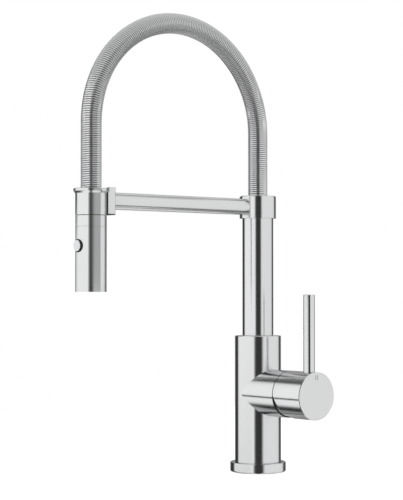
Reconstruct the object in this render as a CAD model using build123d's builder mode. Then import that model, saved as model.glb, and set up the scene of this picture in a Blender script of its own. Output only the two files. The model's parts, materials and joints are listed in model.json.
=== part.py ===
"""Single-lever kitchen mixer with a wound spring spout and a pull-down spray head.

Millimetres. The origin is the centre of the base ring's underside, where it meets the deck.
+Z is up, -Y is the way the spout points, and +X is the side of the lever.
"""

from build123d import *
import os
from math import cos, pi, radians, sin, sqrt, tan

os.makedirs("parts", exist_ok=True)

# Clearances
running_fit = 0.06
slip_fit = 0.03
seat_gap = 0.3

# Deck fixing
base_ring_radius = 27.75
base_ring_height = 9.5
base_ring_foot_edge = 1.6
base_ring_top_edge = 0.4
gasket_inner_radius = 21.0
gasket_width = 3.6
gasket_height = 2.0
shank_radius = 16.4
shank_bore_radius = 12.6
shank_below_deck = 56.0
shank_into_body = 13.0
deck_thickness = 30.0
clamp_washer_radius = 26.0
rubber_washer_height = 3.0
steel_washer_height = 2.0
shank_nut_across_flats = 44.0
shank_nut_height = 9.0

# Mixer body
body_radius = 23.0
body_height = 125.1
body_edge = 0.4
side_arm_rise = 69.2
side_arm_end = 46.8
chamber_radius = 19.0
chamber_floor = 14.0
port_radius = 4.5
port_depth = 12.0
port_spread = 7.0
port_back = 2.0
passage_radius = 2.2
inlet_drop = 3.4
outlet_rise = 5.2
outlet_bore_radius = 4.0
socket_radius = 15.0
socket_depth = 34.0
slip_ring_radius = 17.0
slip_ring_seat_depth = 1.2
swivel_screw_radius = 2.5
swivel_screw_nose_radius = 1.5
swivel_screw_drop = 14.0
swivel_screw_sunk = 1.5

# Cartridge, from its base plate out to the carrier's front
cartridge_radius = 17.4
cartridge_base_height = 3.2
seal_width = 1.4
inlet_spread = 5.0
fixed_disc_radius = 13.0
fixed_disc_height = 3.4
moving_disc_radius = 8.4
moving_disc_height = 4.4
cavity_radius = 13.8
cavity_depth = 8.0
shoulder_wall = 1.0
neck_height = 6.0
neck_bore_radius = 11.2
neck_radius = 14.6
carrier_proud = 2.0
carrier_slot_width = 6.6
lift_pivot_rise = 4.0
stem_thickness = 6.0
stem_tip_radius = 2.0
stem_tip_reach = 2.0
stem_tip_play = 0.5

# Lever
knob_radius = 23.05
knob_gap = 1.0
knob_length = 37.2
knob_edge = 0.5
knob_wall = 3.0
knob_hollow_depth = 12.0
relief_angle = 25.0
stem_grip = 10.0
pin_radius = 5.55
pin_inset = 10.45
pin_length = 87.0
pin_socket_depth = 13.0
pin_edge = 0.4
set_screw_radius = 2.5
set_screw_length = 8.0
set_screw_inset = 6.2

# Column, collar and arm
column_radius = 15.45
column_wall = 2.0
column_length = 133.9
spigot_neck_height = 14.0
spigot_bore_radius = 4.0
spigot_groove_depth = 1.6
spigot_groove_width = 2.4
spigot_groove_rises = (5.5, 11.5)
collar_radius = 18.15
collar_height = 22.3
collar_roof = 5.0
collar_edge = 1.2
spring_seat_height = 12.0
spring_seat_sunk = 4.0
arm_rise = 11.1
arm_radius = 8.0
arm_wall = 1.2
arm_socket_depth = 2.5

# Dock
dock_width = 20.6
dock_height = 25.5
dock_above_arm = 12.2
dock_back = 21.0
dock_corner = 2.0
dock_lip = 0.8
magnet_radius = 5.0
magnet_height = 2.8

# Reach of the spout, its spring and its hose
reach = 202.5
spring_leg = 60.6
spring_radius = 9.84
spring_wire = 2.8
spring_turns = 60
spring_end_rise = 7.5
hose_radius = 6.0
hose_bore_radius = 4.0
hose_sides = 12
hose_grip = 11.4
ferrule_wall = 1.2
tail_thread_radius = 6.0
tail_thread_length = 11.0
tail_hex_height = 6.0
tail_hex_radius = 9.0

# Docking sleeve on the end of the hose
sleeve_radius = 14.55
sleeve_height = 24.4
sleeve_above_arm = 10.7
flange_radius = 16.3
flange_height = 2.4
flange_slope = 50.0
flange_edge = 0.4
sleeve_spring_seat = 9.0
sleeve_wall = 1.6
sleeve_web = 3.0
steel_ring_height = 9.0
steel_ring_wall = 1.2
nipple_radius = 6.2
nipple_bore_radius = 4.0
nipple_reach = 12.0
nipple_shoulder_radius = 8.6
nipple_shoulder_height = 2.8
nipple_seal_drop = 5.0
nipple_seal_depth = 1.2
nipple_seal_width = 2.0

# Spray head
head_radius = 14.4
head_wall = 1.9
head_joint_gap = 0.5
neck_ring_height = 10.0
neck_ring_lip = 4.6
head_seam_gap = 0.1
shell_length = 59.6
core_boss_radius = 9.8
core_above_mouth = 7.3
spray_plate_sunk = 0.4
spray_plate_height = 3.4
nozzle_count = 10
nozzle_sides = 8
nozzle_ring_radius = 10.2
nozzle_radius = 0.8
nozzle_proud = 0.3
aerator_radius = 7.6
check_valve_radius = 5.0
check_valve_height = 9.0
check_valve_drop = 4.0
button_drop = 17.7
button_radius = 5.2
button_proud = 1.6
button_depth = 6.0
button_edge = 0.4
bezel_wall = 0.9
bezel_proud = 0.4
bezel_depth = 3.4
pocket_depth = 7.8
diverter_rod_radius = 2.2
diverter_rod_length = 17.0
button_spring_radius = 4.4
button_spring_wall = 0.9

# Heights up the body and the spout
body_top = base_ring_height + body_height
shank_top = base_ring_height + shank_into_body
side_arm_height = base_ring_height + side_arm_rise
socket_floor = body_top - socket_depth
steel_washer_top = -deck_thickness - rubber_washer_height
nut_top = steel_washer_top - steel_washer_height
column_bottom = body_top + seat_gap
column_top = column_bottom + column_length
column_bore_radius = column_radius - column_wall
collar_top = column_top + collar_roof
collar_bottom = collar_top - collar_height
arm_height = collar_bottom + arm_rise
spigot_top = column_bottom + spigot_neck_height
hose_foot = spigot_top + tail_hex_height

# Places along the side arm
fixed_disc_place = chamber_floor + cartridge_base_height
moving_disc_place = fixed_disc_place + fixed_disc_height
cavity_floor = moving_disc_place + moving_disc_height
cavity_end = cavity_floor + cavity_depth
shoulder_place = cavity_end + shoulder_wall
neck_end = shoulder_place + neck_height
carrier_front = neck_end + carrier_proud
lift_pivot = shoulder_place + lift_pivot_rise
knob_back = side_arm_end + knob_gap
knob_hollow_end = knob_back + knob_hollow_depth
knob_face = knob_back + knob_length
stem_end = knob_hollow_end + stem_grip
pin_place = knob_face - pin_inset
pin_foot = side_arm_height + knob_radius - pin_socket_depth
set_screw_place = knob_hollow_end + set_screw_inset

# Heights down the sleeve and the head
dock_top = arm_height + dock_above_arm
dock_bottom = dock_top - dock_height
dock_back_face = -reach + dock_back
flange_top = arm_height + sleeve_above_arm
flange_rim = flange_top - flange_height
flange_foot = flange_rim - (flange_radius - sleeve_radius) * tan(radians(flange_slope))
sleeve_bottom = flange_top - sleeve_height
sleeve_seat = flange_top - sleeve_spring_seat
sleeve_roof = sleeve_seat - sleeve_web
ferrule_radius = hose_radius + ferrule_wall
hose_end = sleeve_roof - hose_grip
neck_top = sleeve_bottom - head_joint_gap
head_seam = neck_top - neck_ring_height
shoulder_top = neck_top - neck_ring_lip - running_fit
shoulder_foot = shoulder_top - nipple_shoulder_height
core_top = shoulder_foot - running_fit
core_radius = head_radius - head_wall - slip_fit
shell_bottom = head_seam - head_seam_gap - shell_length
core_bottom = shell_bottom + core_above_mouth
plate_bottom = shell_bottom + spray_plate_sunk
button_height = head_seam - button_drop
button_face = head_radius + button_proud
button_back = button_face - button_depth
bezel_face = head_radius + bezel_proud
pocket_floor = head_radius - pocket_depth
head_plane = Plane((0, -reach, 0))
head_axis = Axis((0, -reach, 0), (0, 0, 1))

# Base ring, with the groove for its gasket
with BuildPart() as base_ring:
    with BuildSketch():
        Circle(base_ring_radius)
    extrude(amount=base_ring_height)
    fillet(base_ring.edges().sort_by(Axis.Z)[0], base_ring_foot_edge)
    chamfer(base_ring.edges().sort_by(Axis.Z)[-1], base_ring_top_edge)
    with BuildSketch():
        Circle(shank_radius + slip_fit)
    extrude(amount=base_ring_height, mode=Mode.SUBTRACT)
    with BuildSketch():
        Circle(gasket_inner_radius + gasket_width)
        Circle(gasket_inner_radius, mode=Mode.SUBTRACT)
    extrude(amount=gasket_height, mode=Mode.SUBTRACT)
base_ring.part.label = "base_ring"

# Rubber gasket in the base ring's groove
with BuildPart() as base_gasket:
    with BuildSketch():
        Circle(gasket_inner_radius + gasket_width - slip_fit)
        Circle(gasket_inner_radius + slip_fit, mode=Mode.SUBTRACT)
    extrude(amount=gasket_height)
base_gasket.part.label = "base_gasket"

# Hollow threaded shank through the tap hole
with BuildPart() as mounting_shank:
    with BuildSketch(Plane.XY.offset(-shank_below_deck)):
        Circle(shank_radius)
        Circle(shank_bore_radius, mode=Mode.SUBTRACT)
    extrude(amount=shank_below_deck + shank_top)
mounting_shank.part.label = "mounting_shank"

# Rubber washer under the deck
with BuildPart() as deck_rubber_washer:
    with BuildSketch(Plane.XY.offset(steel_washer_top)):
        Circle(clamp_washer_radius)
        Circle(shank_radius + slip_fit, mode=Mode.SUBTRACT)
    extrude(amount=rubber_washer_height)
deck_rubber_washer.part.label = "deck_rubber_washer"

# Steel washer under the rubber one
with BuildPart() as deck_steel_washer:
    with BuildSketch(Plane.XY.offset(nut_top)):
        Circle(clamp_washer_radius)
        Circle(shank_radius + slip_fit, mode=Mode.SUBTRACT)
    extrude(amount=steel_washer_height)
deck_steel_washer.part.label = "deck_steel_washer"

# Hexagonal nut on the shank
with BuildPart() as shank_nut:
    with BuildSketch(Plane.XY.offset(nut_top)):
        RegularPolygon(shank_nut_across_flats / 2, 6, major_radius=False)
        Circle(shank_radius + slip_fit, mode=Mode.SUBTRACT)
    extrude(amount=-shank_nut_height)
shank_nut.part.label = "shank_nut"

# The three water ways through the cartridge's base: two inlets and the mixed outlet
cartridge_ports = (
    (inlet_spread, side_arm_height - inlet_drop),
    (-inlet_spread, side_arm_height - inlet_drop),
    (0, side_arm_height + outlet_rise),
)

# Mixer body: upright cylinder with an equal side arm, its water ways and the spout's socket
with BuildPart() as mixer_body:
    with BuildSketch(Plane.XY.offset(base_ring_height)):
        Circle(body_radius)
    extrude(amount=body_height)
    chamfer(mixer_body.edges().filter_by(GeomType.CIRCLE).sort_by(Axis.Z)[-1], body_edge)
    with BuildSketch(Plane.YZ):
        with Locations((0, side_arm_height)):
            Circle(body_radius)
    extrude(amount=side_arm_end)
    with BuildSketch(Plane.YZ.offset(side_arm_end)):
        with Locations((0, side_arm_height)):
            Circle(chamber_radius)
    extrude(amount=chamber_floor - side_arm_end, mode=Mode.SUBTRACT)
    with BuildSketch(Plane.YZ.offset(chamber_floor)):
        with Locations(*cartridge_ports):
            Circle(passage_radius)
    extrude(amount=-chamber_floor - port_back, mode=Mode.SUBTRACT)
    with BuildSketch(Plane.XY.offset(base_ring_height)):
        Circle(shank_radius + slip_fit)
    extrude(amount=shank_into_body, mode=Mode.SUBTRACT)
    with BuildSketch(Plane.XY.offset(shank_top)):
        with Locations((-port_back, port_spread), (-port_back, -port_spread)):
            Circle(port_radius)
    extrude(amount=port_depth, mode=Mode.SUBTRACT)
    with BuildSketch(Plane.XY.offset(shank_top + port_depth)):
        with Locations((-port_back, inlet_spread), (-port_back, -inlet_spread)):
            Circle(passage_radius)
    extrude(amount=side_arm_height - inlet_drop - shank_top - port_depth, mode=Mode.SUBTRACT)
    with BuildSketch(Plane.XY.offset(socket_floor)):
        Circle(outlet_bore_radius)
    extrude(amount=side_arm_height + outlet_rise - socket_floor, mode=Mode.SUBTRACT)
    with BuildSketch(Plane.XY.offset(body_top)):
        Circle(socket_radius)
    extrude(amount=-socket_depth, mode=Mode.SUBTRACT)
    with BuildSketch(Plane.XY.offset(body_top)):
        Circle(slip_ring_radius + slip_fit)
    extrude(amount=-slip_ring_seat_depth, mode=Mode.SUBTRACT)
    with BuildSketch(Plane.XZ.offset(-body_radius)):
        with Locations((0, body_top - swivel_screw_drop)):
            Circle(swivel_screw_radius + slip_fit)
    extrude(amount=body_radius - socket_radius + 1, mode=Mode.SUBTRACT)
mixer_body.part.label = "mixer_body"

# Plastic slip ring that the column turns on
with BuildPart() as swivel_slip_ring:
    with BuildSketch(Plane.XY.offset(body_top - slip_ring_seat_depth)):
        Circle(slip_ring_radius)
        Circle(socket_radius + slip_fit, mode=Mode.SUBTRACT)
    extrude(amount=slip_ring_seat_depth + seat_gap - slip_fit)
swivel_slip_ring.part.label = "swivel_slip_ring"

# Grub screw whose nose runs in the spigot's groove and keeps the spout in its socket
with BuildPart() as swivel_screw:
    with BuildSketch(Plane.XZ.offset(swivel_screw_sunk - body_radius)):
        with Locations((0, body_top - swivel_screw_drop)):
            Circle(swivel_screw_radius)
    extrude(amount=body_radius - swivel_screw_sunk - socket_radius)
    with BuildSketch(Plane.XZ.offset(-socket_radius)):
        with Locations((0, body_top - swivel_screw_drop)):
            Circle(swivel_screw_nose_radius)
    extrude(amount=spigot_groove_depth - seat_gap)
swivel_screw.part.label = "swivel_screw"

# Cartridge base plate
with BuildPart() as cartridge_base:
    with BuildSketch(Plane.YZ.offset(chamber_floor)):
        with Locations((0, side_arm_height)):
            Circle(cartridge_radius)
        with Locations(*cartridge_ports):
            Circle(passage_radius + seal_width, mode=Mode.SUBTRACT)
    extrude(amount=cartridge_base_height)
cartridge_base.part.label = "cartridge_base"

# Rubber seals round the three ports
with BuildPart() as cartridge_seals:
    with BuildSketch(Plane.YZ.offset(chamber_floor)):
        with Locations(*cartridge_ports):
            Circle(passage_radius + seal_width - slip_fit)
            Circle(passage_radius, mode=Mode.SUBTRACT)
    extrude(amount=cartridge_base_height)
cartridge_seals.part.label = "cartridge_seals"

# Fixed ceramic disc
with BuildPart() as fixed_ceramic_disc:
    with BuildSketch(Plane.YZ.offset(fixed_disc_place)):
        with Locations((0, side_arm_height)):
            Circle(fixed_disc_radius)
        with Locations(*cartridge_ports):
            Circle(passage_radius, mode=Mode.SUBTRACT)
    extrude(amount=fixed_disc_height)
fixed_ceramic_disc.part.label = "fixed_ceramic_disc"

# Moving ceramic disc, with the socket that the stem's tip pushes
with BuildPart() as moving_ceramic_disc:
    with BuildSketch(Plane.YZ.offset(moving_disc_place + slip_fit)):
        with Locations((0, side_arm_height)):
            Circle(moving_disc_radius)
    extrude(amount=moving_disc_height - slip_fit - running_fit)
    with BuildSketch(Plane.YZ.offset(cavity_floor)):
        with Locations((0, side_arm_height)):
            Circle(stem_tip_radius + stem_tip_play)
    extrude(amount=-stem_tip_reach - stem_tip_play, mode=Mode.SUBTRACT)
moving_ceramic_disc.part.label = "moving_ceramic_disc"

# Cartridge housing: a cup with a neck that the carrier turns in
with BuildPart() as cartridge_housing:
    with BuildSketch(Plane.YZ.offset(fixed_disc_place)):
        with Locations((0, side_arm_height)):
            Circle(cartridge_radius)
    extrude(amount=shoulder_place - fixed_disc_place)
    with BuildSketch(Plane.YZ.offset(shoulder_place)):
        with Locations((0, side_arm_height)):
            Circle(neck_radius)
    extrude(amount=neck_height)
    with BuildSketch(Plane.YZ.offset(fixed_disc_place)):
        with Locations((0, side_arm_height)):
            Circle(cavity_radius)
    extrude(amount=cavity_end - fixed_disc_place, mode=Mode.SUBTRACT)
    with BuildSketch(Plane.YZ.offset(cavity_end)):
        with Locations((0, side_arm_height)):
            Circle(neck_bore_radius)
    extrude(amount=shoulder_wall + neck_height, mode=Mode.SUBTRACT)
cartridge_housing.part.label = "cartridge_housing"

# Threaded ring that holds the cartridge down
with BuildPart() as cartridge_nut:
    with BuildSketch(Plane.YZ.offset(shoulder_place)):
        with Locations((0, side_arm_height)):
            Circle(chamber_radius - slip_fit)
            Circle(neck_radius + slip_fit, mode=Mode.SUBTRACT)
    extrude(amount=neck_height)
cartridge_nut.part.label = "cartridge_nut"

# Carrier: turns with the lever, and its slot flares both ways from the pivot for the tilt
slot_half = stem_thickness / 2 + seat_gap
flare = tan(radians(relief_angle))
slot_inner = cavity_floor - lift_pivot
slot_outer = carrier_front - lift_pivot
with BuildPart() as stem_carrier:
    with BuildSketch(Plane.YZ.offset(cavity_floor)):
        with Locations((0, side_arm_height)):
            Circle(cavity_radius - running_fit)
    extrude(amount=cavity_depth - running_fit)
    with BuildSketch(Plane.YZ.offset(cavity_floor)):
        with Locations((0, side_arm_height)):
            Circle(neck_bore_radius - running_fit)
    extrude(amount=carrier_front - cavity_floor)
    with BuildSketch(Plane.XZ):
        with BuildLine():
            Polyline(
                (cavity_floor, side_arm_height - slot_half),
                (lift_pivot, side_arm_height - slot_half),
                (carrier_front, side_arm_height - slot_half - slot_outer * flare),
                (carrier_front, side_arm_height + slot_half),
                (lift_pivot, side_arm_height + slot_half),
                (cavity_floor, side_arm_height + slot_half - slot_inner * flare),
                close=True,
            )
        make_face()
    extrude(amount=carrier_slot_width / 2, both=True, mode=Mode.SUBTRACT)
stem_carrier.part.label = "stem_carrier"

# Lever stem: square bar from the disc's socket to the knob's hub
with BuildPart() as cartridge_stem:
    with BuildSketch(Plane.YZ.offset(cavity_floor + seat_gap)):
        with Locations((0, side_arm_height)):
            Rectangle(stem_thickness, stem_thickness)
    extrude(amount=stem_end - cavity_floor - seat_gap)
    with BuildSketch(Plane.YZ.offset(cavity_floor + seat_gap)):
        with Locations((0, side_arm_height)):
            Circle(stem_tip_radius)
    extrude(amount=-seat_gap - stem_tip_reach)
cartridge_stem.part.label = "cartridge_stem"

# Knob: a round cup whose lower back edge is cut away so that it can tilt
relief_drop = knob_radius + 1
with BuildPart() as lever_knob:
    with BuildSketch(Plane.YZ.offset(knob_back)):
        with Locations((0, side_arm_height)):
            Circle(knob_radius)
    extrude(amount=knob_length)
    chamfer(lever_knob.edges().filter_by(GeomType.CIRCLE).sort_by(Axis.X)[-1], knob_edge)
    with BuildSketch(Plane.YZ.offset(knob_back)):
        with Locations((0, side_arm_height)):
            Circle(knob_radius - knob_wall)
    extrude(amount=knob_hollow_depth, mode=Mode.SUBTRACT)
    with BuildSketch(Plane.YZ.offset(knob_hollow_end)):
        with Locations((0, side_arm_height)):
            Rectangle(stem_thickness + 2 * slip_fit, stem_thickness + 2 * slip_fit)
    extrude(amount=stem_grip + slip_fit, mode=Mode.SUBTRACT)
    with BuildSketch(Plane.XZ):
        with BuildLine():
            Polyline(
                (knob_back - 1, side_arm_height),
                (knob_back, side_arm_height),
                (knob_back + relief_drop * flare, side_arm_height - relief_drop),
                (knob_back - 1, side_arm_height - relief_drop),
                close=True,
            )
        make_face()
    extrude(amount=relief_drop, both=True, mode=Mode.SUBTRACT)
    with BuildSketch(Plane.XY.offset(pin_foot)):
        with Locations((pin_place, 0)):
            Circle(pin_radius + slip_fit)
    extrude(amount=pin_socket_depth, mode=Mode.SUBTRACT)
    with BuildSketch(Plane.XY.offset(side_arm_height - stem_thickness / 2)):
        with Locations((set_screw_place, 0)):
            Circle(set_screw_radius + slip_fit)
    extrude(amount=-knob_radius, mode=Mode.SUBTRACT)
lever_knob.part.label = "lever_knob"

# Grub screw that clamps the knob to the stem
with BuildPart() as knob_set_screw:
    with BuildSketch(Plane.XY.offset(side_arm_height - stem_thickness / 2 - slip_fit)):
        with Locations((set_screw_place, 0)):
            Circle(set_screw_radius)
    extrude(amount=-set_screw_length)
knob_set_screw.part.label = "knob_set_screw"

# Lever pin
with BuildPart() as lever_pin:
    with BuildSketch(Plane.XY.offset(pin_foot + slip_fit)):
        with Locations((pin_place, 0)):
            Circle(pin_radius)
    extrude(amount=pin_length - slip_fit)
    chamfer(lever_pin.edges().filter_by(GeomType.CIRCLE).sort_by(Axis.Z)[-1], pin_edge)
lever_pin.part.label = "lever_pin"

# Spigot: turns in the body's socket, with two seal grooves and one for the grub screw
journal_radius = socket_radius - running_fit
groove_radius = journal_radius - spigot_groove_depth
spigot_foot = socket_floor + seat_gap
groove_foots = [spigot_foot + rise for rise in spigot_groove_rises]
with BuildPart() as swivel_spigot:
    with BuildSketch(Plane.XY.offset(spigot_foot)):
        Circle(journal_radius)
    extrude(amount=column_bottom - spigot_foot)
    with BuildSketch(Plane.XY.offset(column_bottom)):
        Circle(column_bore_radius - slip_fit)
    extrude(amount=spigot_neck_height)
    with BuildSketch(Plane.XY.offset(spigot_foot)):
        Circle(spigot_bore_radius)
    extrude(amount=spigot_top - spigot_foot, mode=Mode.SUBTRACT)
    with BuildSketch(Plane.XY.offset(spigot_top)):
        Circle(tail_thread_radius + slip_fit)
    extrude(amount=-tail_thread_length - slip_fit, mode=Mode.SUBTRACT)
    for groove_foot in groove_foots:
        with BuildSketch(Plane.XY.offset(groove_foot)):
            Circle(socket_radius)
            Circle(groove_radius, mode=Mode.SUBTRACT)
        extrude(amount=spigot_groove_width, mode=Mode.SUBTRACT)
    with BuildSketch(Plane.XY.offset(body_top - swivel_screw_drop)):
        Circle(socket_radius)
        Circle(groove_radius, mode=Mode.SUBTRACT)
    extrude(amount=swivel_screw_nose_radius + seat_gap, both=True, mode=Mode.SUBTRACT)
swivel_spigot.part.label = "swivel_spigot"

# The two seals in the spigot's grooves
with BuildPart() as spigot_seals:
    for groove_foot in groove_foots:
        with BuildSketch(Plane.XY.offset(groove_foot + slip_fit)):
            Circle(journal_radius)
            Circle(groove_radius + slip_fit, mode=Mode.SUBTRACT)
        extrude(amount=spigot_groove_width - 2 * slip_fit)
spigot_seals.part.label = "spigot_seals"

# Column tube
with BuildPart() as column_tube:
    with BuildSketch(Plane.XY.offset(column_bottom)):
        Circle(column_radius)
        Circle(column_bore_radius, mode=Mode.SUBTRACT)
    extrude(amount=column_length)
column_tube.part.label = "column_tube"

# Collar that caps the column and carries the arm
with BuildPart() as arm_collar:
    with BuildSketch(Plane.XY.offset(collar_bottom)):
        Circle(collar_radius)
    extrude(amount=collar_height)
    fillet(arm_collar.edges().filter_by(GeomType.CIRCLE).sort_by(Axis.Z)[-1], collar_edge)
    with BuildSketch(Plane.XY.offset(collar_bottom)):
        Circle(column_radius + slip_fit)
    extrude(amount=collar_height - collar_roof, mode=Mode.SUBTRACT)
    with BuildSketch(Plane.XY.offset(column_top)):
        Circle(spring_radius + seat_gap)
    extrude(amount=collar_roof, mode=Mode.SUBTRACT)
    with BuildSketch(Plane.XZ):
        with Locations((0, arm_height)):
            Circle(arm_radius + slip_fit)
    extrude(amount=collar_radius, mode=Mode.SUBTRACT)
arm_collar.part.label = "arm_collar"

# Plug in the column's mouth that the spring stands on
spring_foot = column_top - spring_seat_sunk
with BuildPart() as spring_seat:
    with BuildSketch(Plane.XY.offset(spring_foot)):
        Circle(column_bore_radius - slip_fit)
        Circle(hose_radius + seat_gap, mode=Mode.SUBTRACT)
    extrude(amount=-spring_seat_height)
spring_seat.part.label = "spring_seat"

# Arm tube, its root cut to the column's curve
with BuildPart() as support_arm:
    with BuildSketch(Plane.XZ):
        with Locations((0, arm_height)):
            Circle(arm_radius)
            Circle(arm_radius - arm_wall, mode=Mode.SUBTRACT)
    extrude(amount=arm_socket_depth - dock_back_face)
    with BuildSketch(Plane.XY.offset(collar_bottom)):
        Circle(column_radius + slip_fit)
    extrude(amount=collar_height, mode=Mode.SUBTRACT)
support_arm.part.label = "support_arm"

# Dock: a saddle that cradles the sleeve, countersunk for its flange
saddle_radius = sleeve_radius + seat_gap
flange_pocket_radius = flange_radius + seat_gap
slope = radians(flange_slope)
slope_lift = seat_gap * tan(slope) - seat_gap / cos(slope)
with BuildPart() as dock_saddle:
    with BuildSketch(Plane.XY.offset(dock_bottom)):
        with Locations((0, dock_back_face - dock_back / 2)):
            Rectangle(dock_width, dock_back)
    extrude(amount=dock_height)
    fillet(dock_saddle.edges().filter_by(Axis.Z).group_by(Axis.Y)[-1], dock_corner)
    with BuildSketch(Plane.YZ):
        with BuildLine():
            Polyline(
                (-reach, dock_bottom),
                (-reach + saddle_radius + dock_lip, dock_bottom),
                (-reach + saddle_radius, dock_bottom + dock_lip),
                (-reach + saddle_radius, flange_foot + slope_lift),
                (-reach + flange_pocket_radius, flange_rim + slope_lift),
                (-reach + flange_pocket_radius, dock_top),
                (-reach, dock_top),
                close=True,
            )
        make_face()
    revolve(axis=head_axis, mode=Mode.SUBTRACT)
    with BuildSketch(Plane.XZ.offset(-dock_back_face)):
        with Locations((0, arm_height)):
            Circle(arm_radius + slip_fit)
    extrude(amount=arm_socket_depth, mode=Mode.SUBTRACT)
    with BuildSketch(Plane.XZ.offset(reach)):
        with Locations((0, arm_height)):
            Circle(magnet_radius + slip_fit)
    extrude(amount=-saddle_radius - magnet_height, mode=Mode.SUBTRACT)
dock_saddle.part.label = "dock_saddle"

# Magnet in the saddle
with BuildPart() as dock_magnet:
    with BuildSketch(Plane.XZ.offset(reach - saddle_radius)):
        with Locations((0, arm_height)):
            Circle(magnet_radius)
    extrude(amount=-magnet_height)
dock_magnet.part.label = "dock_magnet"

# Hose: up the column, over the arch and down into the sleeve
arch_radius = reach / 2
arch_height = collar_top + spring_leg
with BuildPart() as spray_hose:
    with BuildLine() as hose_route:
        Line((0, 0, hose_foot), (0, 0, arch_height))
        ThreePointArc(
            (0, 0, arch_height),
            (0, -arch_radius, arch_height + arch_radius),
            (0, -reach, arch_height),
        )
        Line((0, -reach, arch_height), (0, -reach, hose_end))
    with BuildSketch(Plane.XY.offset(hose_foot)):
        RegularPolygon(hose_radius, hose_sides)
        RegularPolygon(hose_bore_radius, hose_sides, mode=Mode.SUBTRACT)
    sweep(path=hose_route.line)
spray_hose.part.label = "spray_hose"

# Threaded tail at the foot of the hose, with its hexagon and crimped ferrule
with BuildPart() as hose_tail:
    with BuildSketch(Plane.XY.offset(spigot_top)):
        RegularPolygon(tail_hex_radius, 6)
    extrude(amount=tail_hex_height)
    with BuildSketch(Plane.XY.offset(spigot_top)):
        Circle(tail_thread_radius)
    extrude(amount=-tail_thread_length)
    with BuildSketch(Plane.XY.offset(spigot_top - tail_thread_length)):
        Circle(hose_bore_radius)
    extrude(amount=tail_thread_length + tail_hex_height, mode=Mode.SUBTRACT)
    with BuildSketch(Plane.XY.offset(hose_foot)):
        Circle(ferrule_radius)
        Circle(hose_radius + slip_fit, mode=Mode.SUBTRACT)
    extrude(amount=hose_grip)
hose_tail.part.label = "hose_tail"


# Spring: one wire wound round the hose's route
coil_radius = spring_radius - spring_wire / 2
coil_foot = spring_foot + spring_end_rise
coil_end = sleeve_seat + spring_end_rise
first_leg = arch_height - coil_foot
arch_length = pi * arch_radius
last_leg = arch_height - coil_end
coil_length = first_leg + arch_length + last_leg


def coil_point(turn):
    """The wire's centre after so many turns from the foot."""
    travel = coil_length * turn / spring_turns
    on_arch = min(max(travel - first_leg, 0), arch_length)
    lean = on_arch / arch_radius
    outward = Vector(0, cos(lean), sin(lean))
    ahead = Vector(0, -sin(lean), cos(lean))
    along_legs = min(travel - first_leg, 0) + max(travel - first_leg - arch_length, 0)
    middle = Vector(0, -arch_radius, arch_height) + outward * arch_radius + ahead * along_legs
    swing = 2 * pi * turn
    return middle + outward * (coil_radius * cos(swing)) + Vector(coil_radius * sin(swing), 0, 0)


def coil_heading(turn, step=0.001):
    """The way the wire runs there."""
    return (coil_point(turn + step) - coil_point(turn - step)).normalized()


def biarc(start, start_heading, end, end_heading):
    """Two arcs that leave start and reach end along their headings and meet without a kink."""
    chord = end - start
    bend = 2 * (1 - start_heading.dot(end_heading))
    pull = 2 * chord.dot(start_heading + end_heading)
    handle = (sqrt(pull * pull + 4 * bend * chord.dot(chord)) - pull) / (2 * bend)
    near = start + start_heading * handle
    far = end - end_heading * handle
    middle = (near + far) / 2
    return [
        TangentArc(start, middle, tangent=start_heading, mode=Mode.PRIVATE),
        TangentArc(middle, end, tangent=far - near, mode=Mode.PRIVATE),
    ]


# Each end of the wire stands square on its seat, a quarter turn before the coil
def wire_end(turn, seat_height):
    """Where the straight end meets its seat, and where it starts to bend into the coil."""
    above = coil_point(turn)
    return Vector(above.X, above.Y, seat_height), Vector(above.X, above.Y, seat_height + spring_wire)


first_seat, first_bend = wire_end(-0.25, spring_foot)
last_seat, last_bend = wire_end(spring_turns + 0.25, sleeve_seat)
up = Vector(0, 0, 1)
stations = [(first_bend, up)]
stations += [(coil_point(half / 2), coil_heading(half / 2)) for half in range(2 * spring_turns + 1)]
stations += [(last_bend, -up)]
with BuildPart() as spout_spring:
    with BuildLine() as spring_route:
        add(Line(first_seat, first_bend, mode=Mode.PRIVATE))
        add([arc for here, there in zip(stations, stations[1:]) for arc in biarc(*here, *there)])
        add(Line(last_bend, last_seat, mode=Mode.PRIVATE))
    with BuildSketch(Plane.XY.offset(spring_foot)):
        with Locations((first_seat.X, first_seat.Y)):
            RegularPolygon(spring_wire / 2, 4)
    sweep(path=spring_route.line, clean=False)
spout_spring.part.label = "spout_spring"

# Docking sleeve with the flange that hangs in the saddle
sleeve_bore_radius = sleeve_radius - sleeve_wall
spring_pocket_radius = spring_radius + seat_gap
with BuildPart() as docking_sleeve:
    with BuildSketch(Plane.YZ):
        with BuildLine():
            Polyline(
                (-reach + ferrule_radius + slip_fit, sleeve_bottom),
                (-reach + sleeve_radius, sleeve_bottom),
                (-reach + sleeve_radius, flange_foot),
                (-reach + flange_radius, flange_rim),
                (-reach + flange_radius, flange_top - flange_edge),
                (-reach + flange_radius - flange_edge, flange_top),
                (-reach + spring_pocket_radius, flange_top),
                (-reach + spring_pocket_radius, sleeve_seat),
                (-reach + hose_radius + seat_gap, sleeve_seat),
                (-reach + hose_radius + seat_gap, sleeve_roof),
                (-reach + sleeve_bore_radius, sleeve_roof),
                (-reach + sleeve_bore_radius, sleeve_bottom + sleeve_wall),
                (-reach + ferrule_radius + slip_fit, sleeve_bottom + sleeve_wall),
                close=True,
            )
        make_face()
    revolve(axis=head_axis)
docking_sleeve.part.label = "docking_sleeve"

# Steel ring inside the sleeve that the magnet pulls
with BuildPart() as sleeve_steel_ring:
    with BuildSketch(head_plane.offset(sleeve_roof)):
        Circle(sleeve_bore_radius - slip_fit)
        Circle(sleeve_bore_radius - steel_ring_wall, mode=Mode.SUBTRACT)
    extrude(amount=-steel_ring_height)
sleeve_steel_ring.part.label = "sleeve_steel_ring"

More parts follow.
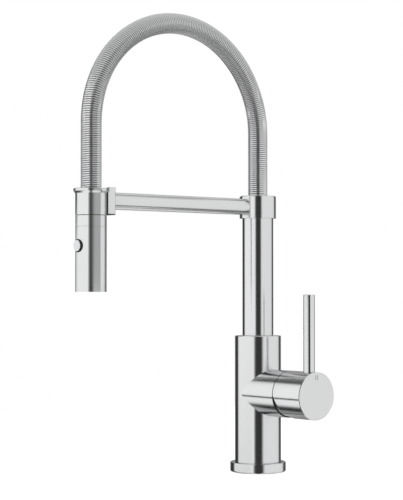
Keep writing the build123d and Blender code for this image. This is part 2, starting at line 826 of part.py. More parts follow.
# Swivel nipple: crimped on the hose, its shoulder held in the head
nipple_foot = shoulder_foot - nipple_reach
seal_foot = shoulder_foot - nipple_seal_drop
nipple_journal = nipple_radius - running_fit
seal_bed = nipple_journal - nipple_seal_depth
with BuildPart() as swivel_nipple:
    with BuildSketch(head_plane.offset(nipple_foot)):
        Circle(nipple_journal)
    extrude(amount=hose_end - nipple_foot)
    with BuildSketch(head_plane.offset(shoulder_foot)):
        Circle(nipple_shoulder_radius)
    extrude(amount=nipple_shoulder_height)
    with BuildSketch(head_plane.offset(seal_foot)):
        Circle(nipple_radius)
        Circle(seal_bed, mode=Mode.SUBTRACT)
    extrude(amount=nipple_seal_width, mode=Mode.SUBTRACT)
    with BuildSketch(head_plane.offset(nipple_foot)):
        Circle(nipple_bore_radius)
    extrude(amount=hose_end - nipple_foot, mode=Mode.SUBTRACT)
    with BuildSketch(head_plane.offset(hose_end)):
        Circle(ferrule_radius)
        Circle(nipple_bore_radius, mode=Mode.SUBTRACT)
    extrude(amount=sleeve_bottom - hose_end)
    with BuildSketch(head_plane.offset(hose_end)):
        Circle(ferrule_radius)
        Circle(hose_radius + slip_fit, mode=Mode.SUBTRACT)
    extrude(amount=hose_grip - slip_fit)
swivel_nipple.part.label = "swivel_nipple"

# Seal on the nipple
with BuildPart() as nipple_seal:
    with BuildSketch(head_plane.offset(seal_foot + slip_fit)):
        Circle(nipple_journal)
        Circle(seal_bed + slip_fit, mode=Mode.SUBTRACT)
    extrude(amount=nipple_seal_width - 2 * slip_fit)
nipple_seal.part.label = "nipple_seal"

# Neck ring: screwed on the head's core, over the nipple's shoulder
with BuildPart() as head_neck_ring:
    with BuildSketch(head_plane.offset(head_seam)):
        Circle(head_radius)
        Circle(core_boss_radius + slip_fit, mode=Mode.SUBTRACT)
    extrude(amount=neck_ring_height - neck_ring_lip)
    with BuildSketch(head_plane.offset(neck_top)):
        Circle(head_radius)
        Circle(nipple_radius, mode=Mode.SUBTRACT)
    extrude(amount=-neck_ring_lip)
head_neck_ring.part.label = "head_neck_ring"

# Head shell, with the round hole for the button's bezel
bezel_radius = button_radius + bezel_wall
with BuildPart() as head_shell:
    with BuildSketch(head_plane.offset(shell_bottom)):
        Circle(head_radius)
        Circle(head_radius - head_wall, mode=Mode.SUBTRACT)
    extrude(amount=shell_length)
    with BuildSketch(Plane.XZ.offset(reach)):
        with Locations((0, button_height)):
            Circle(bezel_radius + slip_fit)
    extrude(amount=head_radius, mode=Mode.SUBTRACT)
head_shell.part.label = "head_shell"

# Core with the water way, the nipple's bore, the button's pocket and the diverter's cross bore
with BuildPart() as head_core:
    with BuildSketch(head_plane.offset(core_bottom)):
        Circle(core_radius)
    extrude(amount=head_seam - core_bottom)
    with BuildSketch(head_plane.offset(head_seam)):
        Circle(core_boss_radius)
    extrude(amount=core_top - head_seam)
    with BuildSketch(head_plane.offset(core_top)):
        Circle(nipple_radius)
    extrude(amount=nipple_foot - seat_gap - core_top, mode=Mode.SUBTRACT)
    with BuildSketch(head_plane.offset(core_bottom)):
        Circle(check_valve_radius + slip_fit)
    extrude(amount=nipple_foot - core_bottom, mode=Mode.SUBTRACT)
    with BuildSketch(Plane.XZ.offset(reach + pocket_floor)):
        with Locations((0, button_height)):
            Circle(bezel_radius + slip_fit)
    extrude(amount=pocket_depth, mode=Mode.SUBTRACT)
    with BuildSketch(Plane.XZ.offset(reach + pocket_floor)):
        with Locations((0, button_height)):
            Circle(diverter_rod_radius + running_fit)
    extrude(amount=-pocket_floor - core_radius, mode=Mode.SUBTRACT)
head_core.part.label = "head_core"

# Non-return valve under the diverter
with BuildPart() as check_valve:
    with BuildSketch(head_plane.offset(button_height - check_valve_drop)):
        Circle(check_valve_radius)
        Circle(check_valve_radius / 2, mode=Mode.SUBTRACT)
    extrude(amount=-check_valve_height)
check_valve.part.label = "check_valve"

# Spray plate with its ring of nozzle holes
with BuildPart() as spray_plate:
    with BuildSketch(head_plane.offset(plate_bottom)):
        Circle(core_radius)
        Circle(aerator_radius + slip_fit, mode=Mode.SUBTRACT)
        with PolarLocations(nozzle_ring_radius, nozzle_count):
            RegularPolygon(nozzle_radius + slip_fit, nozzle_sides, mode=Mode.SUBTRACT)
    extrude(amount=spray_plate_height)
spray_plate.part.label = "spray_plate"

# Rubber nozzles joined by their mat
with BuildPart() as spray_nozzles:
    with BuildSketch(head_plane.offset(plate_bottom - nozzle_proud)):
        with PolarLocations(nozzle_ring_radius, nozzle_count):
            RegularPolygon(nozzle_radius, nozzle_sides)
    extrude(amount=spray_plate_height + nozzle_proud)
    with BuildSketch(head_plane.offset(plate_bottom + spray_plate_height)):
        Circle(core_radius)
        Circle(aerator_radius + slip_fit, mode=Mode.SUBTRACT)
    extrude(amount=core_bottom - plate_bottom - spray_plate_height)
spray_nozzles.part.label = "spray_nozzles"

# Aerator insert in the middle of the plate
with BuildPart() as aerator_insert:
    with BuildSketch(head_plane.offset(plate_bottom)):
        Circle(aerator_radius)
    extrude(amount=core_bottom - plate_bottom)
aerator_insert.part.label = "aerator_insert"

# Bezel of the button
with BuildPart() as button_bezel:
    with BuildSketch(Plane.XZ.offset(reach + bezel_face)):
        with Locations((0, button_height)):
            Circle(bezel_radius)
            Circle(button_radius + running_fit, mode=Mode.SUBTRACT)
    extrude(amount=-bezel_depth)
button_bezel.part.label = "button_bezel"

# Push button of the diverter
with BuildPart() as diverter_button:
    with BuildSketch(Plane.XZ.offset(reach + button_face)):
        with Locations((0, button_height)):
            Circle(button_radius)
    extrude(amount=-button_depth)
    chamfer(diverter_button.edges().filter_by(GeomType.CIRCLE).sort_by(Axis.Y)[0], button_edge)
diverter_button.part.label = "diverter_button"

# Rod that the button pushes through the core
with BuildPart() as diverter_rod:
    with BuildSketch(Plane.XZ.offset(reach + button_back)):
        with Locations((0, button_height)):
            Circle(diverter_rod_radius)
    extrude(amount=-diverter_rod_length)
diverter_rod.part.label = "diverter_rod"

# Return spring behind the button, as a plain sleeve
with BuildPart() as button_spring:
    with BuildSketch(Plane.XZ.offset(reach + pocket_floor)):
        with Locations((0, button_height)):
            Circle(button_spring_radius)
            Circle(button_spring_radius - button_spring_wall, mode=Mode.SUBTRACT)
    extrude(amount=button_back - pocket_floor)
button_spring.part.label = "button_spring"

pieces = (
    base_ring,
    base_gasket,
    mounting_shank,
    deck_rubber_washer,
    deck_steel_washer,
    shank_nut,
    mixer_body,
    swivel_slip_ring,
    swivel_screw,
    cartridge_base,
    cartridge_seals,
    fixed_ceramic_disc,
    moving_ceramic_disc,
    cartridge_housing,
    cartridge_nut,
    stem_carrier,
    cartridge_stem,
    lever_knob,
    knob_set_screw,
    lever_pin,
    swivel_spigot,
    spigot_seals,
    column_tube,
    arm_collar,
    spring_seat,
    support_arm,
    dock_saddle,
    dock_magnet,
    spray_hose,
    hose_tail,
    spout_spring,
    docking_sleeve,
    sleeve_steel_ring,
    swivel_nipple,
    nipple_seal,
    head_neck_ring,
    head_shell,
    head_core,
    check_valve,
    spray_plate,
    spray_nozzles,
    aerator_insert,
    button_bezel,
    diverter_button,
    diverter_rod,
    button_spring,
)
for piece in pieces:
    export_step(piece.part, f"parts/{piece.part.label}.step")

# What the wound wire and the hose measure
wire_line = spring_route.wires()[0]
samples_per_turn = 24
sample_count = samples_per_turn * spring_turns
trace = wire_line.positions([i / sample_count for i in range(sample_count + 1)])
nearest = min(
    (there - here).length
    for i, here in enumerate(trace)
    for there in trace[i + samples_per_turn // 2 : i + 2 * samples_per_turn]
)
print(f"spring: {wire_line.length:.0f} mm of wire, least gap to itself {nearest - spring_wire:.2f} mm")
hose_length = hose_route.wires()[0].length
hose_section = spray_hose.part.volume / hose_length
print(f"hose: {hose_length:.0f} mm long, section {hose_section:.2f} mm2, arch radius {arch_radius:.1f} mm")
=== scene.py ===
"""Looks of the kitchen mixer with the spring spout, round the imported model. Metres, in the model's frame."""

import json
import math

import bmesh
import bpy
from mathutils import Matrix, Vector


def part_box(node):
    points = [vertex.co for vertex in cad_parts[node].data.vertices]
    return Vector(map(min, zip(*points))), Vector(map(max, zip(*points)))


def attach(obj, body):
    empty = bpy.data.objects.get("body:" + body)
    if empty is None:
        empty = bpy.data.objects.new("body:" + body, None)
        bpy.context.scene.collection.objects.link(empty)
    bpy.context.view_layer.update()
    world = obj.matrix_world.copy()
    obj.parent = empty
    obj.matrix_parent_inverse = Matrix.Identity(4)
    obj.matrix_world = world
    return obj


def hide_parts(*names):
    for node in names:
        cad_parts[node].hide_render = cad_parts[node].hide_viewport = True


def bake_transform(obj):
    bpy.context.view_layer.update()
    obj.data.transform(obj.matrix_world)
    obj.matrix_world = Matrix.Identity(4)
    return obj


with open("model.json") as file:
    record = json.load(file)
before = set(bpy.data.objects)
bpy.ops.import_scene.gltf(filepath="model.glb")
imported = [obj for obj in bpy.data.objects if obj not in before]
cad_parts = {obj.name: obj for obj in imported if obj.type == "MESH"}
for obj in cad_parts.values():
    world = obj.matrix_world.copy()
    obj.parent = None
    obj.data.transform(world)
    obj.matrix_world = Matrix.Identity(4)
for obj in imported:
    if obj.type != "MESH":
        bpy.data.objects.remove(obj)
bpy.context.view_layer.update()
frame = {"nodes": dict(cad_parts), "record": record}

MM = 0.001
TURN = 2 * math.pi
SMOOTH_ANGLE = math.radians(30)
UP = Vector((0, 0, 1))

# Places read from the frame
body_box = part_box("mixer_body")
arm_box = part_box("support_arm")
dock_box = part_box("dock_saddle")
sleeve_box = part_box("docking_sleeve")
shell_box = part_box("head_shell")
aerator_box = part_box("aerator_insert")
button_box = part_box("diverter_button")
knob_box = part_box("lever_knob")
pin_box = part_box("lever_pin")
spring_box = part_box("spout_spring")
hose_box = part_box("spray_hose")
shank_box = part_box("mounting_shank")
swivel_screw_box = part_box("swivel_screw")
set_screw_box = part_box("knob_set_screw")

reach = -(shell_box[0].y + shell_box[1].y) / 2
head_axis = (0, -reach, 0)
lever_height = (knob_box[0].z + knob_box[1].z) / 2
lever_axis = (0, 0, lever_height)
arm_height = (arm_box[0].z + arm_box[1].z) / 2
button_height = (button_box[0].z + button_box[1].z) / 2
pin_axis = ((pin_box[0].x + pin_box[1].x) / 2, 0, 0)
body_radius = -body_box[0].x
side_arm_end = body_box[1].x

slot_of = {row["node"]: row["material_slot"] for row in frame["record"]["subparts"]}
body_of = {
    node: body
    for body, nodes in frame["record"]["behaviour"]["bodies"].items()
    for node in nodes
}


def maths(tree, operation, *given):
    """A Math node's output, from numbers or sockets."""
    node = tree.nodes.new("ShaderNodeMath")
    node.operation = operation
    for socket, value in zip(node.inputs, given):
        if isinstance(value, (int, float)):
            socket.default_value = value
        else:
            tree.links.new(value, socket)
    return node.outputs["Value"]


def dot_with(tree, value, fixed):
    """The dot product of a vector socket and a fixed vector."""
    node = tree.nodes.new("ShaderNodeVectorMath")
    node.operation = "DOT_PRODUCT"
    node.inputs[1].default_value = fixed
    tree.links.new(value, node.inputs[0])
    return node.outputs["Value"]


def rise(tree, value, start, end):
    """0 up to start and 1 from end on, with a soft step between."""
    step = tree.nodes.new("ShaderNodeMapRange")
    step.interpolation_type = "SMOOTHSTEP"
    step.inputs["From Min"].default_value = start
    step.inputs["From Max"].default_value = end
    tree.links.new(value, step.inputs["Value"])
    return step.outputs["Result"]


def window(tree, value, low, high, soft):
    """1 between low and high and 0 outside, with soft edges."""
    opened = rise(tree, value, low - soft, low + soft)
    closed = rise(tree, value, high - soft, high + soft)
    return maths(tree, "SUBTRACT", opened, closed)


def material(name):
    """A new material, its node tree and its Principled shader."""
    made = bpy.data.materials.new(name)
    made.use_nodes = True
    tree = made.node_tree
    return made, tree, tree.nodes["Principled BSDF"]


def effect_group(name, inputs, outputs):
    """An empty shader node group with its sockets: the tree, and its input and output nodes."""
    tree = bpy.data.node_groups.new(name, "ShaderNodeTree")
    for way, sockets in (("INPUT", inputs), ("OUTPUT", outputs)):
        for socket in sockets:
            kind = "NodeSocketColor" if socket == "Color" else "NodeSocketFloat"
            tree.interface.new_socket(socket, in_out=way, socket_type=kind)
    return tree, tree.nodes.new("NodeGroupInput"), tree.nodes.new("NodeGroupOutput")


def surface_group(name, noise_vector):
    """A noise that varies a colour and a roughness a little, and gives a height."""
    inputs = ("Color", "Roughness", "Fineness", "Tone Spread", "Roughness Spread")
    tree, given, result = effect_group(name, inputs, ("Color", "Roughness", "Height"))
    noise = tree.nodes.new("ShaderNodeTexNoise")
    noise.inputs["Scale"].default_value = 1.0
    noise.inputs["Detail"].default_value = 3.0
    noise.inputs["Roughness"].default_value = 0.65
    tree.links.new(noise_vector(tree, given.outputs["Fineness"]), noise.inputs["Vector"])
    centred = maths(tree, "SUBTRACT", noise.outputs["Fac"], 0.5)
    tone = maths(tree, "MULTIPLY_ADD", centred, given.outputs["Tone Spread"], 1.0)
    rough = maths(
        tree, "MULTIPLY_ADD", centred, given.outputs["Roughness Spread"], given.outputs["Roughness"]
    )
    tint = tree.nodes.new("ShaderNodeVectorMath")
    tint.operation = "SCALE"
    tree.links.new(given.outputs["Color"], tint.inputs["Vector"])
    tree.links.new(tone, tint.inputs["Scale"])
    tree.links.new(tint.outputs["Vector"], result.inputs["Color"])
    tree.links.new(rough, result.inputs["Roughness"])
    tree.links.new(noise.outputs["Fac"], result.inputs["Height"])
    return tree


def brushed_lines(tree, fineness):
    """Long thin streaks that run along the UV map's U."""
    streaks_per_turn = 14.0
    place = tree.nodes.new("ShaderNodeUVMap")
    place.uv_map = "grain"
    apart = tree.nodes.new("ShaderNodeSeparateXYZ")
    tree.links.new(place.outputs["UV"], apart.inputs["Vector"])
    spot = tree.nodes.new("ShaderNodeCombineXYZ")
    tree.links.new(maths(tree, "MULTIPLY", apart.outputs["X"], streaks_per_turn), spot.inputs["X"])
    tree.links.new(maths(tree, "MULTIPLY", apart.outputs["Y"], fineness), spot.inputs["Y"])
    return spot.outputs["Vector"]


def even_specks(tree, fineness):
    """Specks of one size all over, in the piece's own coordinates."""
    place = tree.nodes.new("ShaderNodeTexCoord")
    scaled = tree.nodes.new("ShaderNodeVectorMath")
    scaled.operation = "SCALE"
    tree.links.new(place.outputs["Object"], scaled.inputs["Vector"])
    tree.links.new(fineness, scaled.inputs["Scale"])
    return scaled.outputs["Vector"]


brushed_surface = surface_group("brushed_surface", brushed_lines)
plain_surface = surface_group("plain_surface", even_specks)


def finish(name, group, colour, roughness, fineness, tone_spread, roughness_spread, relief, metallic=0.0):
    """A material whose colour, roughness and fine relief, in millimetres, come from a surface group."""
    made, tree, shader = material(name)
    shader.inputs["Metallic"].default_value = metallic
    surface = tree.nodes.new("ShaderNodeGroup")
    surface.node_tree = group
    surface.inputs["Color"].default_value = (*colour, 1)
    surface.inputs["Roughness"].default_value = roughness
    surface.inputs["Fineness"].default_value = fineness
    surface.inputs["Tone Spread"].default_value = tone_spread
    surface.inputs["Roughness Spread"].default_value = roughness_spread
    bump = tree.nodes.new("ShaderNodeBump")
    bump.inputs["Strength"].default_value = 0.3
    bump.inputs["Distance"].default_value = relief * MM
    tree.links.new(surface.outputs["Color"], shader.inputs["Base Color"])
    tree.links.new(surface.outputs["Roughness"], shader.inputs["Roughness"])
    tree.links.new(surface.outputs["Height"], bump.inputs["Height"])
    tree.links.new(bump.outputs["Normal"], shader.inputs["Normal"])
    return made


def brushed(name, roughness, anisotropy):
    """Brushed stainless steel: its lines run along U, and a highlight is drawn out across them."""
    made = finish(
        name, brushed_surface, (0.807, 0.815, 0.82), roughness,
        fineness=4200.0, tone_spread=0.1, roughness_spread=0.06, relief=0.0005, metallic=1.0,
    )
    tree = made.node_tree
    shader = tree.nodes["Principled BSDF"]
    shader.inputs["Anisotropic"].default_value = anisotropy
    shader.inputs["Anisotropic Rotation"].default_value = 0.25
    shader.inputs["Specular Tint"].default_value = (0.6, 0.6, 0.61, 1)
    direction = tree.nodes.new("ShaderNodeTangent")
    direction.direction_type = "UV_MAP"
    direction.uv_map = "grain"
    tree.links.new(direction.outputs["Tangent"], shader.inputs["Tangent"])
    return made


finishes = {
    "brushed_steel": brushed("brushed_stainless", roughness=0.185, anisotropy=0.72),
    "button_steel": brushed("button_stainless", roughness=0.22, anisotropy=0.5),
    "spring_wire": finish(
        "spring_stainless", plain_surface, (0.85, 0.858, 0.862), 0.2,
        fineness=900.0, tone_spread=0.08, roughness_spread=0.05, relief=0.002, metallic=1.0,
    ),
    "inner_steel": finish(
        "plain_steel", plain_surface, (0.5, 0.5, 0.5), 0.35,
        fineness=700.0, tone_spread=0.15, roughness_spread=0.1, relief=0.01, metallic=1.0,
    ),
    "plated_steel": finish(
        "zinc_plate", plain_surface, (0.62, 0.62, 0.59), 0.36,
        fineness=260.0, tone_spread=0.2, roughness_spread=0.12, relief=0.02, metallic=1.0,
    ),
    "magnet": finish(
        "nickel_plate", plain_surface, (0.42, 0.42, 0.43), 0.3,
        fineness=500.0, tone_spread=0.1, roughness_spread=0.08, relief=0.01, metallic=1.0,
    ),
    "brass": finish(
        "machined_brass", plain_surface, (0.68, 0.52, 0.25), 0.3,
        fineness=800.0, tone_spread=0.14, roughness_spread=0.1, relief=0.01, metallic=1.0,
    ),
    "black_rubber": finish(
        "black_rubber", plain_surface, (0.025, 0.025, 0.026), 0.6,
        fineness=1200.0, tone_spread=0.3, roughness_spread=0.15, relief=0.02,
    ),
    "hose_cover": finish(
        "hose_cover", plain_surface, (0.03, 0.03, 0.032), 0.5,
        fineness=900.0, tone_spread=0.3, roughness_spread=0.15, relief=0.02,
    ),
    "black_plastic": finish(
        "black_plastic", plain_surface, (0.022, 0.022, 0.023), 0.42,
        fineness=1500.0, tone_spread=0.25, roughness_spread=0.1, relief=0.02,
    ),
    "white_plastic": finish(
        "white_plastic", plain_surface, (0.75, 0.75, 0.72), 0.45,
        fineness=1100.0, tone_spread=0.06, roughness_spread=0.1, relief=0.02,
    ),
    "ceramic": finish(
        "lapped_ceramic", plain_surface, (0.85, 0.83, 0.79), 0.15,
        fineness=1500.0, tone_spread=0.05, roughness_spread=0.05, relief=0.004,
    ),
}
mark_grey = finish(
    "mark_grey", plain_surface, (0.4, 0.405, 0.41), 0.5,
    fineness=1500.0, tone_spread=0.05, roughness_spread=0.05, relief=0.002,
)

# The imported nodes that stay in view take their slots' finishes too
for name, node in frame["nodes"].items():
    node.data.materials.clear()
    node.data.materials.append(finishes[slot_of[name]])


# Routes say how a piece is brushed: each is an axis, a point on it and a test of a face's place and normal
def everywhere(place, normal):
    """A route's test that always holds."""
    return True


def on_side_arm(place, normal):
    """True on the body's side arm: at its end, or on its skin and not facing along it."""
    skin_error, lengthways, end_depth = 0.3 * MM, 0.2, 1 * MM
    from_axis = Vector((0, place.y, place.z - lever_height))
    on_skin = abs(from_axis.length - body_radius) < skin_error and abs(normal.x) < lengthways
    return place.x > 0 and (on_skin or place.x > side_arm_end - end_depth)


round_z = [(UP, (0, 0, 0), everywhere)]
round_arm = [((0, 1, 0), (0, 0, arm_height), everywhere)]
round_body = [((1, 0, 0), lever_axis, on_side_arm)] + round_z
round_knob = [((1, 0, 0), lever_axis, everywhere)]
round_pin = [(UP, pin_axis, everywhere)]
round_head = [(UP, head_axis, everywhere)]
round_button = [((0, 1, 0), (0, 0, button_height), everywhere)]


def route_of(face, routes):
    """The axis and origin of the first route whose test holds for a face."""
    fitting = [(axis, origin) for axis, origin, holds in routes if holds(face.center, face.normal)]
    axis, origin = fitting[0]
    return Vector(axis), Vector(origin)


def grain_map(mesh, routes):
    """A UV map for the brushed lines: U along them in turns, V across them in metres.

    Faces square to their axis are brushed straight across, with lines as long as those round a 20 mm radius.
    """
    flat_turn = TURN * 20 * MM
    squareness = 0.9
    layer = mesh.uv_layers.get("grain") or mesh.uv_layers.new(name="grain")
    for face in mesh.polygons:
        axis, origin = route_of(face, routes)
        side = Vector((axis.y, axis.z, axis.x))
        across = axis.cross(side)
        square = abs(face.normal.dot(axis)) > squareness
        first = None
        for corner in face.loop_indices:
            place = mesh.vertices[mesh.loops[corner].vertex_index].co - origin
            if square:
                layer.data[corner].uv = (place.dot(across) / flat_turn, place.dot(side))
                continue
            turn = math.atan2(place.dot(across), place.dot(side)) / TURN
            first = turn if first is None else first
            turn -= round(turn - first)
            layer.data[corner].uv = (turn, place.dot(axis))


def true_round(mesh, routes):
    """Shade turned faces as truly round: a corner's normal points straight out from its route's axis.

    A face along the axis, or square to it, is shaded flat that way, and an eased edge between them turns
    smoothly. A face that isn't round stays flat, and its eased edges turn from one such face to the next.
    """
    along, square, round_enough = 0.08, 0.996, 0.97
    near = math.cos(math.radians(38))
    axes = [route_of(face, routes) for face in mesh.polygons]
    leans = [face.normal.dot(axis) for face, (axis, origin) in zip(mesh.polygons, axes)]
    met = [[] for vert in mesh.vertices]
    for face in mesh.polygons:
        for index in face.vertices:
            met[index].append(face.index)
    normals = [corner.vector.copy() for corner in mesh.corner_normals]
    for face, (axis, origin), lean in zip(mesh.polygons, axes, leans):
        for corner in face.loop_indices:
            index = mesh.loops[corner].vertex_index
            place = mesh.vertices[index].co - origin
            out = (place - axis * place.dot(axis)).normalized()
            facing = face.normal - axis * lean
            if abs(lean) > square:
                normals[corner] = face.normal.copy()
                continue
            beside = [i for i in met[index] if mesh.polygons[i].normal.dot(face.normal) > near]
            if abs(facing.normalized().dot(out)) < round_enough:
                weighted = [mesh.polygons[i].normal * mesh.polygons[i].area for i in beside]
                normals[corner] = sum(weighted, Vector()).normalized()
                continue
            tilt = lean
            if abs(lean) > along:
                tilts = [leans[i] for i in beside]
                tilt = sum(tilts) / len(tilts)
                tilt = next((one for one in tilts if abs(one) > square or abs(one) <= along), tilt)
            out *= math.copysign(1, facing.dot(out))
            normals[corner] = out * math.sqrt(max(1 - tilt * tilt, 0)) + axis * tilt
    mesh.normals_split_custom_set(normals)


def in_scene(name, bm):
    """A new object from a bmesh, linked to the scene."""
    mesh = bpy.data.meshes.new(name)
    bm.to_mesh(mesh)
    bm.free()
    made = bpy.data.objects.new(name, mesh)
    bpy.context.scene.collection.objects.link(made)
    return made


def piece(name, bm, body, slot, *nodes, finish=None, smooth_angle=SMOOTH_ANGLE):
    """A finished piece from a bmesh: it rides on a body, takes a slot's finish and stands for its nodes."""
    made = in_scene(name, bm)
    made.data.shade_smooth()
    made.data.set_sharp_from_angle(angle=smooth_angle)
    made.data.materials.append(finish or finishes[slot])
    if body:
        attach(made, body)
    if nodes:
        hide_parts(*nodes)
    return made


def turned(made, routes):
    """Brush and shade a piece along its routes."""
    grain_map(made.data, routes)
    true_round(made.data, routes)


def discard(holder):
    """Take a passing object and its mesh out again."""
    mesh = holder.data
    bpy.data.objects.remove(holder)
    bpy.data.meshes.remove(mesh)


def shaped_by(bm, add_modifier):
    """The bmesh after a modifier, which add_modifier sets up on a passing object."""
    holder = in_scene("unit", bm)
    add_modifier(holder)
    seen = holder.evaluated_get(bpy.context.evaluated_depsgraph_get())
    shaped = bmesh.new()
    shaped.from_mesh(seen.to_mesh())
    seen.to_mesh_clear()
    discard(holder)
    return shaped


def cut_from(bm, cutters):
    """The bmesh with the closed cutters taken out of it."""
    tools = in_scene("cutters", cutters)

    def difference(holder):
        cut = holder.modifiers.new("cut", "BOOLEAN")
        cut.operation = "DIFFERENCE"
        cut.solver = "EXACT"
        cut.object = tools

    left = shaped_by(bm, difference)
    discard(tools)
    return left


def repeated(bm, count, step):
    """The bmesh repeated count times at a step, with the copies welded end to end."""

    def row(holder):
        array = holder.modifiers.new("row", "ARRAY")
        array.count = count
        array.use_relative_offset = False
        array.use_constant_offset = True
        array.constant_offset_displace = step
        array.use_merge_vertices = True
        array.merge_threshold = 0.001 * MM

    return shaped_by(bm, row)


def node_copy(node):
    """A bmesh of a node, with its triangles merged and its flat faces joined."""
    bm = bmesh.new()
    bm.from_mesh(frame["nodes"][node].data)
    bmesh.ops.remove_doubles(bm, verts=bm.verts, dist=0.002 * MM)
    bmesh.ops.dissolve_limit(bm, angle_limit=math.radians(0.4), verts=bm.verts, edges=bm.edges)
    return bm


def ease(bm, width, segments=2):
    """Ease the outer edges."""
    sharp = [edge for edge in bm.edges if edge.is_convex and edge.calc_face_angle(0) > SMOOTH_ANGLE]
    bmesh.ops.bevel(
        bm, geom=sharp, offset=width, segments=segments, profile=0.5, affect="EDGES", material=-1,
        clamp_overlap=True,
    )


def close_holes(bm):
    """Fill every open boundary."""
    bmesh.ops.holes_fill(bm, edges=[edge for edge in bm.edges if edge.is_boundary], sides=0)


def sliced(bm, place, normal):
    """Keep the part of a closed bmesh that lies on the normal's side of a plane, and close the cut."""
    everything = bm.verts[:] + bm.edges[:] + bm.faces[:]
    bmesh.ops.bisect_plane(bm, geom=everything, plane_co=place, plane_no=normal, clear_inner=True)
    close_holes(bm)
    return bm


def add_prism(bm, sides, radius, start, end):
    """Add a closed prism, or a round bar of many sides, from one point to another."""
    start, end = Vector(start), Vector(end)
    turn = UP.rotation_difference(end - start).to_matrix().to_4x4()
    bmesh.ops.create_cone(
        bm, cap_ends=True, segments=sides, radius1=radius, radius2=radius, depth=(end - start).length,
        matrix=Matrix.Translation((start + end) / 2) @ turn,
    )


def add_block(bm, low, high):
    """Add a box between two corners."""
    low, high = Vector(low), Vector(high)
    place = Matrix.Translation((low + high) / 2) @ Matrix.Diagonal((*(high - low), 1))
    bmesh.ops.create_cube(bm, size=1, matrix=place)


def extruded(bm, faces, way):
    """Extrude faces and move the new ones: returns them."""
    grown = bmesh.ops.extrude_face_region(bm, geom=faces)["geom"]
    bmesh.ops.delete(bm, geom=faces, context="FACES_ONLY")
    bmesh.ops.translate(bm, vec=way, verts=[part for part in grown if isinstance(part, bmesh.types.BMVert)])
    return [part for part in grown if isinstance(part, bmesh.types.BMFace)]


# The wound spring and its hose follow one route: up from the collar, over the arch and down to the sleeve
SPRING_PITCH = 2.04 * MM
WIRE_HEIGHT = 1.62 * MM
WIRE_DEPTH = 1.5 * MM
WIRE_EDGE = 0.72 * MM
WIRE_EDGE_SEGMENTS = 4
WIRE_SMOOTH_ANGLE = math.radians(80)
STEPS_PER_TURN = 20
HOSE_SEGMENTS = 24
ARCH_STEPS = 64
arch_radius = reach / 2
spring_outer = spring_box[1].x
arch_height = spring_box[1].z - spring_outer - arch_radius
arch_centre = Vector((0, -arch_radius, arch_height))
leg_foot = spring_box[0].z
leg_length = arch_height - leg_foot
arch_length = math.pi * arch_radius
route_length = 2 * leg_length + arch_length


def bend_over_arch(bm):
    """Bend what stands straight on the route's foot along the route."""
    for vert in bm.verts:
        travel = vert.co.z - leg_foot
        lean = min(max(travel - leg_length, 0), arch_length) / arch_radius
        outward = Vector((0, math.cos(lean), math.sin(lean)))
        ahead = Vector((0, -math.sin(lean), math.cos(lean)))
        beyond = min(travel - leg_length, 0) + max(travel - leg_length - arch_length, 0)
        sideways = Vector((vert.co.x, 0, 0))
        vert.co = arch_centre + outward * (arch_radius + vert.co.y) + ahead * beyond + sideways


def wound_spring():
    """The spring at its real pitch: one turn of wire, repeated straight up and then bent over the arch."""
    turns = round((route_length - WIRE_HEIGHT) / SPRING_PITCH)
    pitch = (route_length - WIRE_HEIGHT) / turns
    bm = bmesh.new()
    bmesh.ops.create_grid(bm, x_segments=1, y_segments=1, size=0.5)
    bmesh.ops.scale(bm, verts=bm.verts, vec=(WIRE_DEPTH, WIRE_HEIGHT, 1))
    bmesh.ops.bevel(
        bm, geom=bm.verts[:], offset=WIRE_EDGE, segments=WIRE_EDGE_SEGMENTS, profile=0.5, affect="VERTICES",
        material=-1,
    )
    upright = Matrix.Rotation(math.radians(90), 4, "X")
    place = Matrix.Translation((spring_outer - WIRE_DEPTH / 2, 0, leg_foot + WIRE_HEIGHT / 2))
    bmesh.ops.transform(bm, matrix=place @ upright, verts=bm.verts)
    bmesh.ops.delete(bm, geom=bm.faces[:], context="FACES_ONLY")
    bmesh.ops.spin(
        bm, geom=bm.verts[:] + bm.edges[:], axis=UP, cent=(0, 0, 0), dvec=UP * (pitch / STEPS_PER_TURN),
        angle=TURN, steps=STEPS_PER_TURN,
    )
    bm = repeated(bm, turns, UP * pitch)
    close_holes(bm)
    bend_over_arch(bm)
    bmesh.ops.recalc_face_normals(bm, faces=bm.faces)
    return piece("wound_spring", bm, None, "spring_wire", "spout_spring", smooth_angle=WIRE_SMOOTH_ANGLE)


def smooth_hose():
    """The hose inside the spring, from its foot in the column to the sleeve."""
    sleeve_end = sleeve_box[0].z + 1 * MM
    bm = bmesh.new()
    bmesh.ops.create_circle(bm, cap_ends=True, radius=hose_box[1].x, segments=HOSE_SEGMENTS)
    bmesh.ops.translate(bm, vec=(0, 0, hose_box[0].z), verts=bm.verts)
    end = bm.faces[:]
    for height in (leg_foot, arch_height):
        end = extruded(bm, end, UP * (height - end[0].calc_center_median().z))
    curved = bmesh.ops.spin(
        bm, geom=end, axis=(1, 0, 0), cent=arch_centre, dvec=(0, 0, 0), angle=math.pi, steps=ARCH_STEPS,
    )
    end = [part for part in curved["geom_last"] if isinstance(part, bmesh.types.BMFace)]
    for height in (sleeve_box[1].z, sleeve_end):
        end = extruded(bm, end, UP * (height - end[0].calc_center_median().z))
    bmesh.ops.recalc_face_normals(bm, faces=bm.faces)
    return piece("smooth_hose", bm, None, "hose_cover", "spray_hose")


# The spring and the hose keep their places: these are baked into their meshes
for long_piece in (wound_spring(), smooth_hose()):
    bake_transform(long_piece)

# Two small engraved marks on the knob's face, for hot and cold
MARK_WIDTH = 0.75 * MM
MARK_DEPTH = 0.25 * MM
MARK_APART = 2.4 * MM
MARK_FOOT = 15.7 * MM
MARK_HEIGHT = 4.5 * MM
MARK_PLAY = 0.02 * MM
knob_face = knob_box[1].x


